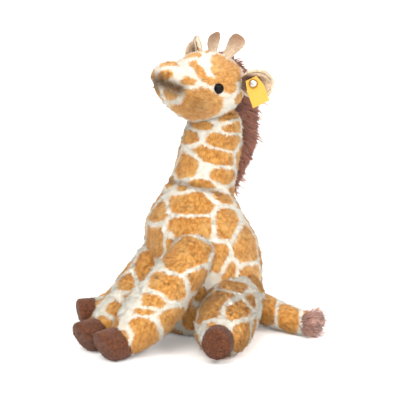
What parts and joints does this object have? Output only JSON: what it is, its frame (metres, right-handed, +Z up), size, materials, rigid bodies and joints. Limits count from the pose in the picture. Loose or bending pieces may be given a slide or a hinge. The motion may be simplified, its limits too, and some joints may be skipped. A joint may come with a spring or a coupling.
{
  "type": "plush giraffe",
  "caption": "Seated stuffed giraffe with a bending neck, nodding head, turning legs and tail, flapping ears, a hair mane, suede horns and a bare ribbon ear tag.",
  "frame": {"origin": "centre of the flat seat patch under the torso, on the floor", "axes": "+Z up, the giraffe faces -Y, its left side is +X"},
  "size_m": [0.2037, 0.2203, 0.2678],
  "materials": {
    "plush": "short pile plush, caramel patches on cream",
    "fibre": "white polyester fibre filling",
    "hoof_plush": "dark brown short pile plush",
    "mane_fur": "long brown pile with lighter tips",
    "suede": "tan suede cloth, matt",
    "ear_lining": "beige brushed lining",
    "eye_black": "glossy black",
    "washer": "plain white plastic washer",
    "ribbon": "plain yellow woven ribbon",
    "brass": "polished brass-coloured metal",
    "nickel": "bright plain metal"
  },
  "bodies": {
    "torso": {"torso_cover": "plush", "torso_filling": "fibre"},
    "neck": {"neck_cover": "plush", "neck_filling": "fibre", "mane": "mane_fur"},
    "head": {"head_cover": "plush", "head_filling": "fibre", "eye_left": "eye_black", "eye_right": "eye_black", "eye_left_washer": "washer", "eye_right_washer": "washer", "horn_left": "suede", "horn_right": "suede"},
    "ear_left": {"ear_left_back": "plush", "ear_left_lining": "ear_lining", "ear_rivet": "brass", "rivet_dome": "nickel", "rivet_back": "brass"},
    "tag": {"ear_tag": "ribbon"},
    "ear_right": {"ear_right_back": "plush", "ear_right_lining": "ear_lining"},
    "foreleg_left": {"foreleg_left_cover": "plush", "foreleg_left_filling": "fibre", "foreleg_left_hoof": "hoof_plush"},
    "foreleg_right": {"foreleg_right_cover": "plush", "foreleg_right_filling": "fibre", "foreleg_right_hoof": "hoof_plush"},
    "hindleg_left": {"hindleg_left_cover": "plush", "hindleg_left_filling": "fibre", "hindleg_left_hoof": "hoof_plush"},
    "hindleg_right": {"hindleg_right_cover": "plush", "hindleg_right_filling": "fibre", "hindleg_right_hoof": "hoof_plush"},
    "tail": {"tail_cover": "plush", "tail_filling": "fibre", "tail_tuft": "mane_fur"}
  },
  "joints": [
    {"name": "neck_bend", "type": "hinge", "parent": "torso", "child": "neck", "pos_m": [0, -0.0115, 0.119], "axis": [1, 0, 0], "range_deg": [-10, 18], "stiffness_Nm_per_rad": 0.6},
    {"name": "head_nod", "type": "hinge", "parent": "neck", "child": "head", "pos_m": [0, 0.01045, 0.17997], "axis": [1, 0, 0], "range_deg": [-12, 15], "stiffness_Nm_per_rad": 0.4, "deforming": ["mane"]},
    {"name": "ear_left_flap", "type": "hinge", "parent": "head", "child": "ear_left", "pos_m": [0.0267, 0.0166, 0.2252], "axis": [0.158, -0.1885, -0.9693], "range_deg": [-20, 20], "stiffness_Nm_per_rad": 0.004},
    {"name": "tag_turn", "type": "hinge", "parent": "ear_left", "child": "tag", "pos_m": [0.03794, 0.02405, 0.22452], "axis": [0.549, -0.81, 0.206], "range_deg": [-10, 10]},
    {"name": "ear_right_flap", "type": "hinge", "parent": "head", "child": "ear_right", "pos_m": [-0.0208, 0.0134, 0.2404], "axis": [0.6081, -0.0947, 0.7882], "range_deg": [-20, 20], "stiffness_Nm_per_rad": 0.004},
    {"name": "foreleg_left_swing", "type": "hinge", "parent": "torso", "child": "foreleg_left", "pos_m": [0.02809, -0.0424, 0.07926], "axis": [-1, 0, 0], "range_deg": [0, 30]},
    {"name": "foreleg_right_swing", "type": "hinge", "parent": "torso", "child": "foreleg_right", "pos_m": [-0.02385, -0.03789, 0.06195], "axis": [-1, 0, 0], "range_deg": [0, 30]},
    {"name": "hindleg_left_splay", "type": "hinge", "parent": "torso", "child": "hindleg_left", "pos_m": [0.03763, 0.00159, 0.03449], "axis": [0, 0, 1], "range_deg": [0, 40]},
    {"name": "hindleg_right_splay", "type": "hinge", "parent": "torso", "child": "hindleg_right", "pos_m": [-0.03763, 0.00159, 0.03449], "axis": [0, 0, -1], "range_deg": [0, 40]},
    {"name": "tail_swing", "type": "hinge", "parent": "torso", "child": "tail", "pos_m": [0.01007, 0.04108, 0.01936], "axis": [0, 0, 1], "range_deg": [0, 85]}
  ]
}
